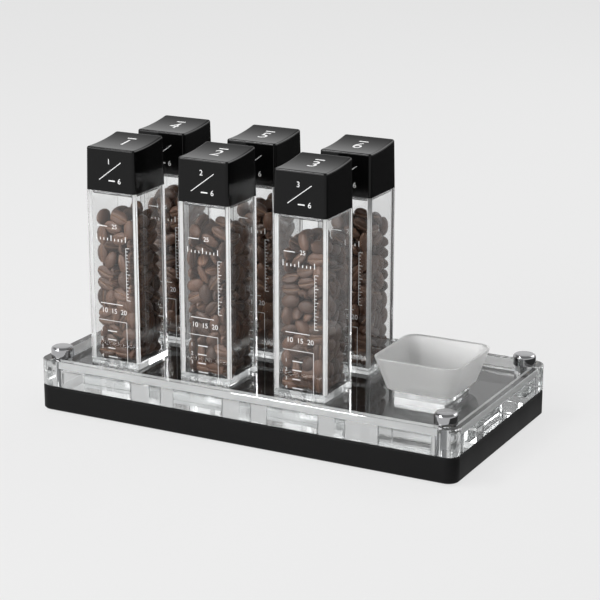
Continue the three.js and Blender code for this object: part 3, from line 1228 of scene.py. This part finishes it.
@dataclass(frozen=True)
class Softbox:
    """A soft lamp."""

    name: str
    place: Point
    size: tuple[float, float]
    power: float

    def hang(self, target: Vector) -> None:
        """Adds the lamp to the scene.

        Args:
            target: What it points at.
        """
        data = bpy.data.lights.new(self.name, "AREA")
        data.shape = "RECTANGLE"
        data.size, data.size_y = self.size
        data.energy = self.power
        lamp = bpy.data.objects.new(self.name, data)
        lamp.location = self.place
        lamp.rotation_euler = (target - Vector(self.place)).to_track_quat("-Z", "Y").to_euler()
        bpy.context.scene.collection.objects.link(lamp)


@dataclass
class Studio:
    """A pale floor, soft light from all round, and the camera of the photograph."""

    pale: float = 0.83
    overhead: float = 0.3
    horizon: tuple[float, float] = (0.32, 0.6)
    azimuth: float = 27.82
    elevation: float = 16.51
    camera_place: Point = (0.52639, -0.98735, 0.40138)
    focal_pixels: float = 1970.6
    image_pixels: int = 600
    sensor: float = 36.0
    far_clip: float = 50.0
    bounces: int = 40
    ambient: float = 0.45
    floor_glow: float = 0.85
    floor_radius: float = 6.0
    floor_sides: int = 96
    flag_height: float = 1.5 * MM
    flag_thickness: float = 1.0 * MM
    flags: tuple[tuple[float, float, float, float], ...] = (
        (0.15, -0.12, 0.9, 0.95),
        (-0.3, 0.1, 0.15, 0.95),
    )
    aim: Point = (0.0, 0.0, 0.08)
    lamps: tuple[Softbox, ...] = (
        Softbox("key_light", (-0.67, -0.42, 1.33), (0.42, 0.26), 10.0),
        Softbox("front_light", (-0.55, -1.15, 0.5), (0.8, 0.5), 8.5),
        Softbox("back_light", (0.5, 1.1, 0.9), (1.2, 0.6), 6.0),
    )

    def camera(self) -> None:
        """Adds the camera and makes it the scene's own."""
        data = bpy.data.cameras.new("camera")
        data.sensor_width = self.sensor
        data.lens = self.focal_pixels * self.sensor / self.image_pixels
        data.clip_end = self.far_clip
        camera = bpy.data.objects.new("camera", data)
        camera.location = self.camera_place
        camera.rotation_euler = (math.radians(90.0 - self.elevation), 0.0, math.radians(self.azimuth))
        bpy.context.scene.collection.objects.link(camera)
        bpy.context.scene.camera = camera

    @staticmethod
    def seen(tree: bpy.types.NodeTree) -> bpy.types.NodeSocket:
        """Tells the rays that show a surface, straight or in gloss or glass, from those that light it.

        Args:
            tree: The node tree to add to.

        Returns:
            A socket that is 1 for rays that show a surface.
        """
        path = tree.nodes.new("ShaderNodeLightPath")
        found = path.outputs["Is Camera Ray"]
        for name in ("Is Glossy Ray", "Is Transmission Ray"):
            larger = tree.nodes.new("ShaderNodeMath")
            larger.operation = "MAXIMUM"
            tree.links.new(found, larger.inputs[0])
            tree.links.new(path.outputs[name], larger.inputs[1])
            found = larger.outputs["Value"]
        return found

    def world(self) -> None:
        """Sets the soft light from all round, which shows as pale at the horizon and darker overhead."""
        world = bpy.data.worlds.new("studio")
        world.use_nodes = True
        bpy.context.scene.world = world
        tree = world.node_tree
        light = tree.nodes["Background"]
        set_inputs(light, {"Color": (1.0, 1.0, 1.0, 1.0), "Strength": self.ambient})
        backdrop = tree.nodes.new("ShaderNodeBackground")
        set_inputs(backdrop, {"Color": (1.0, 1.0, 1.0, 1.0)})
        way = tree.nodes.new("ShaderNodeTexCoord")
        parts = tree.nodes.new("ShaderNodeSeparateXYZ")
        climb = tree.nodes.new("ShaderNodeMapRange")
        low, high = self.horizon
        set_inputs(climb, {"From Min": low, "From Max": high})
        set_inputs(climb, {"To Min": self.pale, "To Max": self.overhead})
        tree.links.new(way.outputs["Generated"], parts.inputs["Vector"])
        tree.links.new(parts.outputs["Z"], climb.inputs["Value"])
        tree.links.new(climb.outputs["Result"], backdrop.inputs["Strength"])
        mix = tree.nodes.new("ShaderNodeMixShader")
        tree.links.new(self.seen(tree), mix.inputs["Fac"])
        tree.links.new(light.outputs["Background"], mix.inputs[1])
        tree.links.new(backdrop.outputs["Background"], mix.inputs[2])
        tree.links.new(mix.outputs["Shader"], tree.nodes["World Output"].inputs["Surface"])

    def floor(self) -> None:
        """Adds the pale floor, which keeps a soft part of the rack's shadow."""
        bm = bmesh.new()
        bmesh.ops.create_circle(bm, cap_ends=True, segments=self.floor_sides, radius=self.floor_radius)
        material = bpy.data.materials.new("studio_floor")
        shader = shader_of(material)
        grey = (self.pale, self.pale, self.pale, 1.0)
        set_inputs(shader, {"Base Color": grey, "Roughness": 1.0, "Specular IOR Level": 0.0})
        tree = material.node_tree
        glow = add_node(material, "ShaderNodeEmission", Color=grey, Strength=1.0)
        share = tree.nodes.new("ShaderNodeMath")
        share.operation = "MULTIPLY"
        share.inputs[1].default_value = self.floor_glow
        mix = tree.nodes.new("ShaderNodeMixShader")
        tree.links.new(self.seen(tree), share.inputs[0])
        tree.links.new(share.outputs["Value"], mix.inputs["Fac"])
        tree.links.new(shader.outputs["BSDF"], mix.inputs[1])
        tree.links.new(glow.outputs["Emission"], mix.inputs[2])
        tree.links.new(mix.outputs["Shader"], tree.nodes["Material Output"].inputs["Surface"])
        piece("floor", bm, material)

    def flag(self) -> None:
        """Lays dark cloth behind and on the right, seen only in gloss, for dark right faces."""
        bm = bmesh.new()
        for left, front, right, back in self.flags:
            middle = Matrix.Translation(((left + right) / 2, (front + back) / 2, self.flag_height))
            size = Matrix.Diagonal((right - left, back - front, self.flag_thickness, 1.0))
            bmesh.ops.create_cube(bm, size=1.0, matrix=middle @ size)
        cloth = piece("flag", bm, PlainCoat("flag_cloth", (0.02, 0.02, 0.02), 0.9).make())
        cloth.visible_camera = False
        cloth.visible_diffuse = False
        cloth.visible_transmission = False
        cloth.visible_shadow = False

    def build(self) -> None:
        """Sets the whole studio."""
        self.camera()
        self.world()
        self.floor()
        self.flag()
        for lamp in self.lamps:
            lamp.hang(Vector(self.aim))
        bpy.context.scene.view_settings.view_transform = "Standard"
        cycles = bpy.context.scene.cycles
        cycles.max_bounces = self.bounces
        cycles.transmission_bounces = self.bounces
        cycles.glossy_bounces = self.bounces


def main() -> None:
    """Builds the studio and every sub-assembly around the frame."""
    logging.basicConfig(level=logging.INFO, format="%(message)s")
    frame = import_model()
    nodes = frame["nodes"]
    Studio().build()
    finishes = Finishes()
    Base().build(nodes, finishes)
    pile = BeanPile(Canister(1).bore())
    bean = pile.bean()
    places = pile.places()
    for i in range(1, CANISTERS + 1):
        Canister(i).build(finishes, pile, bean, places)
        Lid(i).build(nodes, finishes)
    Dish().build(finishes)


if __name__ == "__main__":
    main()
